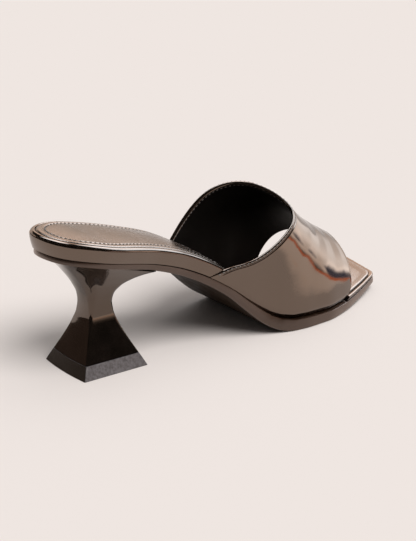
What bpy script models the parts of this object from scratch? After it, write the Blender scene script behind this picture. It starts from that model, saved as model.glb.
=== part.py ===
"""Heeled mule, right shoe: an open-toed vamp band on a curved sole, over a pyramid heel.

The shoe is drawn in millimetres, with x from the back of the heel to the toe, y to the wearer's inner
side and z up from the floor. Meshes are made in metres, under an empty at the centre of the footprint.
"""

import math

import bmesh
import bpy
import numpy as np

MM = 0.001
SIGN = {"outer": -1.0, "inner": 1.0}  # side of the long axis
GAP = 0.3  # clearance between pieces that are glued or sewn together

# Driving dimensions
LENGTH = 240.0  # heel back to toe, along the floor
HEEL_ROUND = 27.0  # depth of the round back of the heel
HEEL_FULLNESS = 2.25  # 2 is an ellipse, more is squarer
TOE_CORNER = 4.0  # radius of the square toe's corners
TOE_SKEW = 0.30  # how far the toe's edge runs forward for each millimetre towards the inner side
TOE_SKEW_START = 70.0  # station where the sections start to skew, so the ball line is oblique too
SOLE_EDGE = 0.8  # chamfer of the outsole's lower edge
RIM = 2.6  # width of the rolled rim round the insole
RIM_ROUND = 1.8  # radius of the rim's outer shoulder
RECESS = 1.2  # depth of the insole's seat below the rim
INSOLE_PROUD = 0.5  # how far the padded insole stands above the rim
INSOLE_BEVEL = 0.8  # width of the steep part of its rounded edge
INSOLE_ROUND = 2.4  # width of the whole rounded edge
INSOLE_SAG = 0.2  # how far the edge lies below its top between the two
WALL = 1.9  # leather and lining of the upper
TUCK_HEIGHT = 5.0  # height over which the upper turns in to the sole
STEP_RUN = 2.4  # length of the midsole's step in under the upper
STEP_LEAD = 1.4  # how far the step ends before the upper's edge
HEEL_AXIS = 34.8  # station of the heel's upright axis
HEEL_TURN = math.radians(-4.9)  # the heel's block points a little to the outer side
TOP_PIECE = 6.8  # thickness of the lift
CORNER_POINTS = 6  # points on each corner of the heel's block
SIDE_POINTS = 4  # points between its corners
NECK_LEVEL = 0.44  # share of the block's height where its straight pyramid ends
PYRAMID_RINGS = 4  # rings up to the neck
NECK_RINGS = 14  # rings from the neck to the seat
UPPER_ROWS = 22  # points along the upper, from collar to toe opening
UPPER_COLUMNS = 45  # points over the upper, from foot to foot
SOLVE_STEPS = 8  # rounds that find the station under a point
CREST_BLEND = 0.3  # share of the half width over which the two feet's heights blend at the crest
FOOT_SHARE = 0.2  # share of the way over the upper that meets the midsole's side
FOOT_BUNCHING = 0.6  # how much closer the upper's grid lies at its feet


class Table:
    """Rows of named columns, read between the rows by a monotone cubic over the first column."""

    def __init__(self, columns, rows):
        self.columns = columns
        self.rows = np.array(rows, dtype=float)

    def at(self, name, where):
        keys = self.rows[:, 0]
        values = self.rows[:, self.columns.index(name)]
        step = np.diff(keys)
        secant = np.diff(values) / step
        product = secant[:-1] * secant[1:]
        total = secant[:-1] + secant[1:]
        safe_total = np.where(product > 0, total, 1.0)
        inner = np.where(product > 0, 2.0 * product / safe_total, 0.0)
        tangent = np.concatenate([secant[:1], inner, secant[-1:]])
        where = np.clip(np.asarray(where, dtype=float), keys[0], keys[-1])
        row = np.clip(np.searchsorted(keys, where, side="right") - 1, 0, len(keys) - 2)
        t = (where - keys[row]) / step[row]
        rise = values[row] * (1 + 2 * t) * (1 - t) ** 2 + values[row + 1] * t * t * (3 - 2 * t)
        bend = tangent[row] * t * (1 - t) ** 2 - tangent[row + 1] * t * t * (1 - t)
        return rise + bend * step[row]


# The sole, station by station: height of its underside, the outline each side of the long axis, the
# thickness of outsole and midsole, how far the outsole lies inside the outline, how far the midsole's
# foot lies inside its rim, and how far the upper turns in at its foot.
SOLE = Table(
    ("station", "under", "outer", "inner", "outsole", "midsole", "setback", "flare", "tuck"),
    (
        (0.0, 65.8, 26.0, 26.0, 3.0, 8.6, 3.0, 1.8, 0.0),
        (15.0, 63.0, 26.0, 26.0, 3.0, 8.5, 3.0, 1.8, 0.0),
        (30.0, 59.2, 26.0, 26.0, 3.0, 8.4, 2.8, 1.6, 0.0),
        (45.0, 55.4, 24.6, 24.2, 3.2, 8.4, 2.4, 1.2, 0.0),
        (60.0, 51.0, 23.0, 22.4, 3.5, 8.4, 1.8, 0.9, 0.0),
        (75.0, 45.4, 22.8, 21.8, 3.8, 8.4, 1.2, 0.6, 0.2),
        (90.0, 38.0, 24.6, 23.4, 4.1, 8.2, 0.7, 0.4, 0.4),
        (106.0, 27.6, 28.0, 27.0, 4.6, 7.6, 0.3, 0.4, 0.8),
        (118.5, 16.6, 31.0, 30.4, 5.4, 6.4, 0.0, 0.4, 1.4),
        (127.5, 9.2, 33.4, 32.4, 6.1, 5.4, 0.0, 0.4, 2.0),
        (134.0, 4.9, 35.4, 33.8, 6.5, 4.8, 0.0, 0.4, 2.4),
        (142.0, 1.6, 37.8, 35.2, 6.8, 4.2, 0.0, 0.4, 2.8),
        (153.0, 0.0, 40.4, 37.0, 6.6, 3.8, 0.0, 0.4, 3.0),
        (165.5, 0.0, 42.0, 38.8, 6.2, 3.6, 0.0, 0.4, 3.0),
        (180.0, 0.0, 42.2, 39.4, 5.8, 3.4, 0.0, 0.4, 2.8),
        (198.0, 0.5, 39.0, 36.8, 5.2, 3.0, 0.0, 0.4, 2.2),
        (220.5, 2.2, 30.8, 30.0, 4.4, 2.5, 0.0, 0.4, 1.2),
        (240.0, 4.6, 21.6, 21.0, 3.6, 2.0, 0.0, 0.4, 0.8),
    ),
)

# The footbed's bank: how far its inner edge rises over its outer edge, to hold the arch of the foot.
BANK = Table(
    ("station", "rise"),
    (
        (0.0, 0.4),
        (12.0, 1.5),
        (27.0, 2.9),
        (45.0, 3.2),
        (62.0, 3.0),
        (78.0, 3.3),
        (94.0, 3.2),
        (108.0, 1.4),
        (122.0, 0.0),
        (240.0, 0.0),
    ),
)

# The upper, by distance from the heel's back: the height of its crest over the floor, how far the crest
# lies to the inner side, and the fullness of the section there (2 is an ellipse, more is squarer).
ARCH = Table(
    ("x", "crest", "crest_side", "fullness"),
    (
        (90.0, 97.0, 3.0, 4.0),
        (120.0, 86.5, 3.0, 3.4),
        (140.0, 80.0, 4.5, 2.9),
        (158.0, 74.0, 5.0, 2.4),
        (164.0, 70.2, 5.0, 2.3),
        (175.0, 59.8, 5.0, 2.2),
        (190.0, 48.8, 4.5, 2.1),
        (210.0, 36.6, 4.0, 2.1),
    ),
)

# The band's edges, from the outer foot (0) over the crest to the inner foot (1): how far from the heel's
# back the collar and the toe opening lie.
BAND = Table(
    ("share", "collar", "toe"),
    (
        (0.0, 95.0, 190.0),
        (0.06, 107.0, 198.5),
        (0.12, 122.0, 201.0),
        (0.2, 141.5, 203.5),
        (0.29, 159.5, 205.0),
        (0.36, 163.0, 206.5),
        (0.5, 156.0, 209.0),
        (0.63, 149.0, 207.0),
        (0.76, 134.0, 199.5),
        (0.88, 115.0, 193.0),
        (1.0, 98.0, 187.0),
    ),
)

# The upper's sides are drawn straight below the collar: by distance from the heel's back, how far they lie
# inside the full section, and the share of the way over where that ends.
HOLLOW = Table(
    ("x", "depth", "top"),
    (
        (95.0, 0.0, 0.03),
        (107.0, 0.4, 0.06),
        (122.0, 1.0, 0.12),
        (141.5, 1.8, 0.2),
        (159.5, 2.0, 0.29),
        (168.0, 1.5, 0.38),
        (185.0, 0.5, 0.44),
        (200.0, 0.0, 0.5),
    ),
)

# The heel's block, by share of its height: reach to the back, to the breast and to each side of its
# axis, the radii of its back and breast corners, and the bulge of its back face.
BLOCK = Table(
    ("level", "back", "breast", "side", "back_round", "breast_round", "bulge"),
    (
        (0.0, 19.8, 19.8, 20.0, 0.8, 0.8, 1.2),
        (0.44, 8.9, 8.6, 8.8, 1.2, 1.2, 0.6),
        (0.52, 7.7, 7.5, 7.7, 1.8, 1.8, 0.4),
        (0.60, 7.4, 7.3, 7.5, 2.8, 2.8, 0.3),
        (0.68, 8.0, 8.2, 8.2, 4.2, 3.6, 0.3),
        (0.78, 11.0, 12.0, 10.4, 6.5, 4.6, 0.3),
        (0.88, 16.4, 18.0, 14.2, 10.5, 5.4, 0.2),
        (0.95, 21.8, 23.4, 17.6, 15.0, 6.0, 0.1),
        (1.0, 27.0, 28.6, 20.4, 19.0, 6.4, 0.0),
    ),
)
BLOCK_LEVEL_UP_TO = 0.55  # share of the height where the sections start to tilt with the seat


def smooth_step(low, high, value):
    """0 below low, 1 above high, eased between."""
    t = np.clip((np.asarray(value, dtype=float) - low) / (high - low), 0.0, 1.0)
    return t * t * (3 - 2 * t)


def sole_tilt(station):
    """Slope angle of the sole's underside, negative where it falls towards the toe."""
    reach = 0.5
    rise = SOLE.at("under", station + reach) - SOLE.at("under", station - reach)
    return np.arctan2(rise, 2 * reach)


def toe_skew(station):
    return TOE_SKEW * smooth_step(TOE_SKEW_START, LENGTH, station)


def bank(station, across, height):
    """Rise of the footbed towards the inner side, at a height over the underside; none in the outsole."""
    outer = SOLE.at("outer", station)
    sideways = np.clip((across + outer) / (outer + SOLE.at("inner", station)), 0.0, 1.0)
    level = np.maximum(0.0, height - SOLE.at("outsole", station)) / SOLE.at("midsole", station)
    return BANK.at("rise", station) * sideways * level


def place(station, across, height):
    """Point at a station, across the shoe and at a height over the underside, square to the sole."""
    angle = sole_tilt(station)
    x = station - height * np.sin(angle) + toe_skew(station) * across
    z = SOLE.at("under", station) + height * np.cos(angle) + bank(station, across, height)
    return np.stack(np.broadcast_arrays(x, across, z), axis=-1)


def half_width(side, station, inset=0.0):
    """Outline's distance from the long axis, with the heel's round back and the toe's round corners."""
    width = SOLE.at(side, station) - inset
    back = np.clip(1 - (station - inset) / (HEEL_ROUND - inset), 0.0, 1.0)
    width = width * (1 - back ** HEEL_FULLNESS) ** (1 / HEEL_FULLNESS)
    corner = np.clip((station - (LENGTH - inset - TOE_CORNER)) / TOE_CORNER, 0.0, 1.0)
    return width - TOE_CORNER * (1 - np.sqrt(1 - corner ** 2))


def stations(extra=()):
    """Stations from heel to toe: close together at the heel's round back and the toe's corners."""
    round_back = HEEL_ROUND * (1 - np.cos(np.linspace(0.06, math.pi / 2, 10)))
    middle = np.linspace(HEEL_ROUND, LENGTH - TOE_CORNER, 30)[1:-1]
    round_front = LENGTH - TOE_CORNER * (1 - np.sin(np.linspace(0.0, math.pi / 2, 6)))
    return np.unique(np.round(np.concatenate([round_back, middle, extra, round_front]), 3))


def collection(name):
    group = bpy.data.collections.new(name)
    bpy.context.scene.collection.children.link(group)
    return group


def material(name, colour, roughness):
    made = bpy.data.materials.new(name)
    made.use_nodes = True
    shader = made.node_tree.nodes["Principled BSDF"]
    shader.inputs["Base Color"].default_value = (*colour, 1.0)
    shader.inputs["Roughness"].default_value = roughness
    shader.inputs["Metallic"].default_value = 0.0
    made.diffuse_color = (*colour, 1.0)
    return made


def add_piece(name, mesh_builder, finish, group, parent):
    """One named object from a bmesh, in metres, with its faces turned outwards."""
    bmesh.ops.recalc_face_normals(mesh_builder, faces=mesh_builder.faces)
    if mesh_builder.calc_volume(signed=True) < 0:
        bmesh.ops.reverse_faces(mesh_builder, faces=mesh_builder.faces)
    bmesh.ops.triangulate(mesh_builder, faces=mesh_builder.faces)
    bmesh.ops.scale(mesh_builder, vec=(MM, MM, MM), verts=mesh_builder.verts)
    mesh = bpy.data.meshes.new(name)
    mesh_builder.to_mesh(mesh)
    mesh_builder.free()
    mesh.materials.append(finish)
    mesh.shade_smooth()
    mesh.set_sharp_from_angle(angle=math.radians(35))
    piece = bpy.data.objects.new(name, mesh)
    piece.parent = parent
    group.objects.link(piece)
    return piece


def cap(builder, ring, left, right):
    """Close a ring by faces laid across it, from two neighbouring points to the far side."""
    count = len(ring)
    for step in range(count // 2):
        corners = (left - step, right + step, right + step + 1, left - step - 1)
        distinct = dict.fromkeys(ring[corner % count] for corner in corners)
        if len(distinct) > 2:
            builder.faces.new(distinct)


def loft(rings, left=0, right=0):
    """Closed skin through rings of equal length, capped at both ends from the given points."""
    builder = bmesh.new()
    rows = [[builder.verts.new(point) for point in ring] for ring in rings]
    count = len(rows[0])
    for here, ahead in zip(rows, rows[1:]):
        for i in range(count):
            j = (i + 1) % count
            builder.faces.new((here[i], here[j], ahead[j], ahead[i]))
    cap(builder, rows[0], left, right)
    cap(builder, rows[-1], left, right)
    return builder


def shell(outer, inner):
    """Closed wall between two point grids of one shape, open inside, joined along all four edges."""
    builder = bmesh.new()
    sheets = [[[builder.verts.new(p) for p in row] for row in grid] for grid in (outer, inner)]
    rows, columns = outer.shape[:2]
    for sheet in sheets:
        for i in range(rows - 1):
            for j in range(columns - 1):
                corners = (sheet[i][j], sheet[i + 1][j], sheet[i + 1][j + 1], sheet[i][j + 1])
                builder.faces.new(corners)
    border = [(i, 0) for i in range(rows)]
    border += [(rows - 1, j) for j in range(1, columns)]
    border += [(i, columns - 1) for i in range(rows - 2, -1, -1)]
    border += [(0, j) for j in range(columns - 2, 0, -1)]
    for (i, j), (k, m) in zip(border, border[1:] + border[:1]):
        builder.faces.new((sheets[0][i][j], sheets[0][k][m], sheets[1][k][m], sheets[1][i][j]))
    return builder


def as_drawn(points, side, station):
    """Points of a profile that nothing moves."""
    return points


def section_ring(station, points, fitted):
    """Ring of a sole layer at one station, from its profile's insets, heights and reaches.

    The profile runs from the middle of the underside, out and up the side, to the middle of the top. The
    reach is the share of the half width; 0 is on the long axis. Near the heel's back and the toe a point
    lies its own inset further in, so a rim keeps its width all round. The fitted function may move the
    profile on either side.
    """
    to_back = np.clip(1 - station / HEEL_ROUND, 0.0, 1.0)
    to_toe = np.clip((station - LENGTH) / HEEL_ROUND + 1, 0.0, 1.0)
    sides = {"outer": [], "inner": []}
    for side in sides:
        for inset, height, reach in fitted(points, side, station):
            if reach == 0.0 and side == "inner":
                continue
            own = station + inset * (to_back - to_toe)
            across = SIGN[side] * reach * half_width(side, own, inset)
            sides[side].append(place(own, across, height))
    return sides["outer"] + sides["inner"][::-1]


def under_upper(side, station, height):
    """1 where the upper covers the midsole's side, at a height over the sole's underside."""
    x, _, z = place(station, SIGN[side] * half_width(side, station), height)
    collar_x, toe_x = edges_at(side, z)
    covered = smooth_step(collar_x - STEP_LEAD - STEP_RUN, collar_x - STEP_LEAD, x)
    return covered * (1 - smooth_step(toe_x + STEP_LEAD, toe_x + STEP_LEAD + STEP_RUN, x))


def stepped(points, side, station):
    """Points of a profile, moved in where the upper's wall and its turned-in foot need room.

    From the insole's seat upwards all points move alike, so the insole keeps its clearance in the rim.
    """
    seat = SOLE.at("outsole", station) + GAP + SOLE.at("midsole", station) - RECESS
    room = SOLE.at("tuck", station) + WALL + 3 * GAP
    for inset, height, reach in points:
        yield inset + room * under_upper(side, station, min(height, seat)), height, reach


def step_stations():
    """Close stations where the midsole steps in behind the collar and out again at the toe opening."""
    collars = BAND.at("collar", 0.0), BAND.at("collar", 1.0)
    toes = BAND.at("toe", 0.0), BAND.at("toe", 1.0)
    behind = np.arange(min(collars) - 4 * STEP_RUN, max(collars) + 5 * STEP_RUN, STEP_RUN / 2)
    ahead = np.arange(min(toes) - 5 * STEP_RUN, max(toes) + 8 * STEP_RUN, STEP_RUN / 2)
    return np.concatenate([behind, ahead])


def outsole():
    """Thin moulded sole with a chamfered lower edge."""
    rings = []
    for station in stations():
        inset = SOLE.at("setback", station)
        top = SOLE.at("outsole", station)
        points = (
            (inset + SOLE_EDGE, 0.0, 0.0),
            (inset + SOLE_EDGE, 0.0, 1.0),
            (inset, SOLE_EDGE, 1.0),
            (inset, top, 1.0),
            (inset, top, 0.0),
        )
        rings.append(section_ring(station, points, as_drawn))
    return loft(rings)


def midsole():
    """Wrapped footbed: a rolled rim round the insole's seat, stepped in under the upper."""
    rings = []
    for station in stations(step_stations()):
        foot = SOLE.at("outsole", station) + GAP
        thick = SOLE.at("midsole", station)
        top = foot + thick
        flare = SOLE.at("flare", station)
        points = (
            (flare, foot, 0.0),
            (flare, foot, 1.0),
            (0.7 * flare, foot + 0.2 * thick, 1.0),
            (0.3 * flare, foot + 0.45 * thick, 1.0),
            (0.1 * flare, foot + 0.65 * thick, 1.0),
            (0.0, top - RIM_ROUND, 1.0),
            (0.3 * RIM_ROUND, top - 0.3 * RIM_ROUND, 1.0),
            (RIM_ROUND, top, 1.0),
            (RIM, top, 1.0),
            (RIM, top - RECESS, 1.0),
            (RIM, top - RECESS, 0.0),
        )
        rings.append(section_ring(station, points, stepped))
    return loft(rings)


def insole():
    """Padded sock in the midsole's seat, its top edge rounded."""
    rings = []
    edge = RIM + GAP
    for station in stations(step_stations()):
        seat = SOLE.at("outsole", station) + GAP + SOLE.at("midsole", station) - RECESS + GAP
        top = seat - GAP + RECESS + INSOLE_PROUD
        points = (
            (edge, seat, 0.0),
            (edge, seat, 1.0),
            (edge, seat + 0.5 * RECESS, 1.0),
            (edge + INSOLE_BEVEL, top - INSOLE_SAG, 1.0),
            (edge + INSOLE_ROUND, top, 1.0),
            (edge + INSOLE_ROUND, top, 0.0),
        )
        rings.append(section_ring(station, points, stepped))
    return loft(rings)


def deck_station(x, across):
    """Station whose point on the outsole's top lies at x, at a distance across the shoe."""
    station = np.asarray(x, dtype=float)
    for _ in range(SOLVE_STEPS):
        lean = SOLE.at("outsole", station) * np.sin(sole_tilt(station))
        station = x - toe_skew(station) * across + lean
    return station


def upper_foot(side, x, depth):
    """Distance across and height over the floor of the upper's foot at x, in from its outer face."""
    sign = SIGN[side]
    station = deck_station(x, sign * SOLE.at(side, x))
    reach = SOLE.at(side, station) - GAP - SOLE.at("setback", station) - depth
    station = deck_station(x, sign * (reach - SOLE.at("tuck", station)))
    angle = sole_tilt(station)
    return reach, SOLE.at("under", station) + SOLE.at("outsole", station) * np.cos(angle) + GAP


def hollow(x, share):
    """How far the upper's side lies inside its full section, at x and a share of the way over."""
    from_foot = np.minimum(share, 1 - share) / HOLLOW.at("top", x)
    return HOLLOW.at("depth", x) * np.sin(math.pi * np.clip(from_foot, 0.0, 1.0))


def upper_points(depth, x, share):
    """Points on the upper at x, at shares of the way over it from the outer foot to the inner one.

    Depth is the distance in from the outer face.
    """
    depth = depth + hollow(x, share)
    angle = math.pi * share
    power = ARCH.at("fullness", x)
    radius = (np.abs(np.cos(angle)) ** power + np.sin(angle) ** power) ** (-1 / power)
    rise = np.clip(np.sin(angle) * radius, 0.0, 1.0)
    swing = -np.cos(angle) * radius
    outer_reach, outer_foot = upper_foot("outer", x, depth)
    inner_reach, inner_foot = upper_foot("inner", x, depth)
    foot = outer_foot + (inner_foot - outer_foot) * smooth_step(-CREST_BLEND, CREST_BLEND, swing)
    z = foot + rise * (ARCH.at("crest", x) - foot - depth)
    tuck = SOLE.at("tuck", x) * np.clip(1 - (z - foot) / TUCK_HEIGHT, 0.0, 1.0) ** 2
    reach = np.where(swing < 0, outer_reach, inner_reach) - tuck
    y = swing * reach + ARCH.at("crest_side", x) * rise ** 1.5
    return np.stack(np.broadcast_arrays(x, y, z), axis=-1)


def edges_at(side, z):
    """Where the upper's collar edge and toe edge on one side pass a height near its foot."""
    near_foot = np.linspace(0.0, FOOT_SHARE, 21)
    share = near_foot if side == "outer" else 1 - near_foot
    crossings = []
    for name in ("collar", "toe"):
        edge = upper_points(0.0, BAND.at(name, share), share)
        crossings.append(np.interp(z, np.maximum.accumulate(edge[:, 2]), edge[:, 0]))
    return crossings


def upper_surface(depth, along, around):
    """Grid of points on the upper, from collar to toe opening and from the outer foot to the inner one."""
    even = np.linspace(0.0, 1.0, around)[None, :]
    share = even - FOOT_BUNCHING * np.sin(2 * math.pi * even) / (2 * math.pi)
    run = np.linspace(0.0, 1.0, along)[:, None]
    x = BAND.at("collar", share) + (BAND.at("toe", share) - BAND.at("collar", share)) * run
    return upper_points(depth, x, share)


def upper():
    """Vamp band, a wall open at the collar, at the toe and underneath."""
    outer = upper_surface(0.0, UPPER_ROWS, UPPER_COLUMNS)
    return shell(outer, upper_surface(WALL, UPPER_ROWS, UPPER_COLUMNS))


def rounded_ring(level):
    """Plan of the heel's block at one level: four sides with round corners, from the outer breast corner."""
    back = BLOCK.at("back", level)
    breast = BLOCK.at("breast", level)
    side = BLOCK.at("side", level)
    bulge = BLOCK.at("bulge", level)
    corner_steps = np.linspace(0.0, 1.0, CORNER_POINTS)
    corners = (
        (breast, -side, BLOCK.at("breast_round", level), -90.0),
        (breast, side, BLOCK.at("breast_round", level), 0.0),
        (-back, side, BLOCK.at("back_round", level), 90.0),
        (-back, -side, BLOCK.at("back_round", level), 180.0),
    )
    arcs = []
    for x, y, radius, start in corners:
        turn = np.radians(start + 90.0 * corner_steps)
        centre_x = x - math.copysign(radius, x)
        centre_y = y - math.copysign(radius, y)
        arcs.append(np.stack([centre_x + radius * np.cos(turn), centre_y + radius * np.sin(turn)], axis=1))
    ring = []
    between = np.linspace(0.0, 1.0, SIDE_POINTS + 2)[1:-1, None]
    for number, arc in enumerate(arcs):
        following = arcs[(number + 1) % 4][0]
        straight = arc[-1] + (following - arc[-1]) * between
        if number == 2:
            straight[:, :1] -= bulge * 4 * between * (1 - between)
        ring += list(arc) + list(straight)
    return np.array(ring)


def block_ring(level):
    """Ring of the heel's block in place, level at its foot and tilted with the seat at its top."""
    ring = rounded_ring(level)
    x = HEEL_AXIS + ring[:, 0] * math.cos(HEEL_TURN) - ring[:, 1] * math.sin(HEEL_TURN)
    y = ring[:, 0] * math.sin(HEEL_TURN) + ring[:, 1] * math.cos(HEEL_TURN)
    middle = SOLE.at("under", HEEL_AXIS) - GAP
    tilt = SOLE.at("under", x) - GAP - middle
    z = level * middle + smooth_step(BLOCK_LEVEL_UP_TO, 1.0, level) * tilt
    return np.stack([x, y, z], axis=1)


def block_loft(levels):
    """Skin through the block's levels, its caps laid across from the middle of the breast face."""
    right = CORNER_POINTS + SIDE_POINTS // 2
    return loft([block_ring(level) for level in levels], right - 1, right)


def top_piece_level():
    return TOP_PIECE / (SOLE.at("under", HEEL_AXIS) - GAP)


def heel():
    """Sculpted block from the top piece to the seat."""
    low = top_piece_level() + GAP / SOLE.at("under", HEEL_AXIS)
    pyramid = np.linspace(low, NECK_LEVEL, PYRAMID_RINGS)
    neck = np.linspace(NECK_LEVEL, 1.0, NECK_RINGS + 1)[1:]
    return block_loft(np.concatenate([pyramid, neck]))


def top_piece():
    """Rubber lift, on the same slant as the block."""
    return block_loft(np.linspace(0.0, top_piece_level(), 3))


def clear_scene():
    for item in list(bpy.data.objects):
        bpy.data.objects.remove(item, do_unlink=True)


def centre_of_footprint(pieces):
    """Middle of the box round all pieces, on the floor, in metres."""
    points = np.array([vertex.co for piece in pieces for vertex in piece.data.vertices])
    middle = (points.min(axis=0) + points.max(axis=0)) / 2
    return float(middle[0]), float(middle[1])


def main():
    clear_scene()
    group = collection("heeled_mule")
    anchor = bpy.data.objects.new("mule", None)
    group.objects.link(anchor)
    patent = material("patent_leather", (0.012, 0.011, 0.011), 0.12)
    lining = material("insole_leather", (0.018, 0.015, 0.014), 0.32)
    lacquer = material("heel_lacquer", (0.010, 0.010, 0.010), 0.08)
    moulded = material("outsole_rubber", (0.016, 0.014, 0.013), 0.38)
    rubber = material("top_piece_rubber", (0.030, 0.030, 0.032), 0.60)
    pieces = [
        add_piece("outsole", outsole(), moulded, group, anchor),
        add_piece("midsole", midsole(), patent, group, anchor),
        add_piece("insole", insole(), lining, group, anchor),
        add_piece("upper", upper(), patent, group, anchor),
        add_piece("heel", heel(), lacquer, group, anchor),
        add_piece("top_piece", top_piece(), rubber, group, anchor),
    ]
    x, y = centre_of_footprint(pieces)
    anchor.location = (-x, -y, 0.0)


main()
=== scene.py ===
"""Looks of the heeled mule: black patent leather on a pale floor, seen from behind its outer side.

Shapes are drawn in millimetres as the solids are, with x from the back of the heel to the toe, y to the
wearer's inner side and z up from the floor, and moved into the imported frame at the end.
"""

import math

import bmesh
import bpy
import numpy as np
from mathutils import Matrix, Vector


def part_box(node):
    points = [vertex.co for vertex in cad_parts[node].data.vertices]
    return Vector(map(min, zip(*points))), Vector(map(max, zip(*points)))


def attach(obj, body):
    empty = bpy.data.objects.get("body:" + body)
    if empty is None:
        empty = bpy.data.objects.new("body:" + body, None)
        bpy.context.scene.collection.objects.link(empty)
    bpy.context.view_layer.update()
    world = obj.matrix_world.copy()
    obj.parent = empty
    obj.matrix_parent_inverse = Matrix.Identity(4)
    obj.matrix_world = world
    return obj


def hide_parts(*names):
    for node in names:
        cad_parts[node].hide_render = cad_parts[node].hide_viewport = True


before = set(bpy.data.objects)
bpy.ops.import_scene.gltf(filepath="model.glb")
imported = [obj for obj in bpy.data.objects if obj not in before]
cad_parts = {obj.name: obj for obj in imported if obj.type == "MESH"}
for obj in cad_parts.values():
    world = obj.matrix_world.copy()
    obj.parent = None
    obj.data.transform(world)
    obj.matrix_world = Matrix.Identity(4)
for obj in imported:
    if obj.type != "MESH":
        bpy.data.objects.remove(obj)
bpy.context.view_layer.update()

# Sizes shared with the solids
MM = 0.001
SIGN = {"outer": -1.0, "inner": 1.0}  # side of the long axis
GAP = 0.3  # clearance between pieces that are glued or sewn together
LENGTH = 240.0  # heel back to toe, along the floor
HEEL_ROUND = 27.0  # depth of the round back of the heel
HEEL_FULLNESS = 2.25  # 2 is an ellipse, more is squarer
TOE_CORNER = 4.0  # radius of the square toe's corners
TOE_SKEW = 0.30  # how far the toe's edge runs forward for each millimetre towards the inner side
TOE_SKEW_START = 70.0  # station where the sections start to skew
SOLE_EDGE = 0.8  # size of the outsole's rounded lower edge
RIM = 2.6  # width of the rolled rim round the insole
RIM_ROUND = 2.1  # radius of the rim's outer shoulder
RECESS = 1.2  # depth of the insole's seat below the rim
INSOLE_PROUD = 0.5  # how far the padded insole stands above the rim
WALL = 1.9  # leather and lining of the upper
TUCK_HEIGHT = 5.0  # height over which the upper turns in to the sole
STEP_RUN = 1.6  # length of the footbed's step in under the upper
STEP_LEAD = -0.2  # how far the step ends before the upper's edge
HEEL_AXIS = 34.8  # station of the heel's upright axis
HEEL_TURN = math.radians(-4.9)  # the heel's block points a little to the outer side
TOP_PIECE = 6.8  # thickness of the lift
SOLVE_STEPS = 8  # rounds that find the station under a point
CREST_LEAN = 1.5  # power of the rise by which the crest moves to its side
CREST_BLEND = 0.3  # share of the half width over which the two feet's heights blend at the crest
FOOT_SHARE = 0.2  # share of the way over the upper that meets the midsole's side
FOOT_BUNCHING = 0.6  # how much closer the upper's grid lies at its feet

# Sizes of the details
STITCH_INSET = 4.4  # from the insole's edge to its line of stitches
STITCH_PITCH = 2.6
STITCH_LENGTH = 1.7
STITCH_WIDTH = 0.72
STITCH_RISE = 0.05  # of its middle over its line
STITCH_SINK = 0.22  # of its ends below its middle
STITCH_TAPER = 0.97  # how far its ends are rounded off
THREAD_SUNK = 0.1  # depth of the stitches' line in insole and lining
COLLAR_SUNK = 0.2  # and in the collar's bead
STITCHED_UP_TO = 180.0  # station under the upper where the insole's stitches end
SOCK_GROOVE = 0.3  # depth of the insole's groove
SOCK_GROOVE_HALF = 0.7  # half its width
COLLAR_STITCH = 1.5  # from the collar's edge to its stitches and the middle of its bead
COLLAR_GROOVE = 3.0  # from the collar's edge to the line that its folded edge ends in
BEAD = 0.45  # how far the folded edge of the collar stands out
BEAD_WIDTH = 0.9
GROOVE = 0.3  # depth of the line that the folded edge ends in
GROOVE_WIDTH = 0.6
TOE_BEAD = 1.1  # from the toe edge to the middle of its own bead
TOE_BEAD_WIDTH = 0.7
TOE_BEAD_SHARE = 0.3  # its height, as a share of the collar's
FADE_IN = 0.05  # share of the way over, at each foot, where these fade in
LINING_FROM = 1.6  # how far the patent turns over the edges onto the inner face
SEAM_DEPTH = 0.7  # depth of the seam under the footbed's rolled rim
SEAM_TURNS = (8.0, 13.0, 31.0, 36.0)  # where it starts, is deepest and ends round the rim, in degrees
FOOT_EDGE = 0.6  # size of the footbed's lower edge
FLARE_POWER = 1.5  # how the footbed's side comes out from its lower edge to its rim
RIM_EDGE = 0.35  # size of the rim's inner edge
RIM_EDGE_MIDDLE = 0.1  # how far out and down the middle of that edge lies
SOLE_TOP_EDGE = 0.5  # size of the outsole's upper edge
INSOLE_CROWN = 0.6  # padding's rise in the middle of the insole
TOE_STEP = 0.5  # how much further the insole stands above the rim at the toe
TOE_PLAIN = (172.0, 198.0)  # stations between which the rim turns into the toe's plain edge
TOE_RIM_LOSS = 0.6  # share of the rim's radius that is gone there
TOE_SOCK_LOSS = 0.7  # share of the insole's rounded edge that is gone there

# How finely the meshes are drawn
BACK_STATIONS = 40  # round the back of the heel
BACK_START = 0.02  # turn of the first of them
MIDDLE_STATIONS = 150
CORNER_STATIONS = 16  # round the toe's corners
CLOSE_STATIONS = ((84.0, 118.0), (172.0, 212.0))  # at the band's two edges
CLOSE_PITCH = 0.6
SIDE_ROWS = 19  # rows up the footbed's side
RIM_STEP = 7.5  # turn from row to row round its rim, in degrees
STITCH_RINGS = 7
STITCH_SIDES = 8
BAND_COLUMNS = 221  # of the upper, from foot to foot
FOLD_ROWS = 7  # round half of its edge
EDGE_ROWS = 19  # from there to the end of its close rows
EDGE_REACH = 5.5  # how far from the edge they end
EVEN_ALONG = 240  # rounds of evening out from collar to toe
EVEN_OVER = 90  # and from foot to foot
EVEN_FROM = (0.05, 0.14)  # shares of the way over, from each foot, where that fades in
BARE_COLUMNS = 9  # columns at each foot without collar stitches
CRISP_FROM = math.radians(38)  # edges that turn more than this stay crisp


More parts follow.
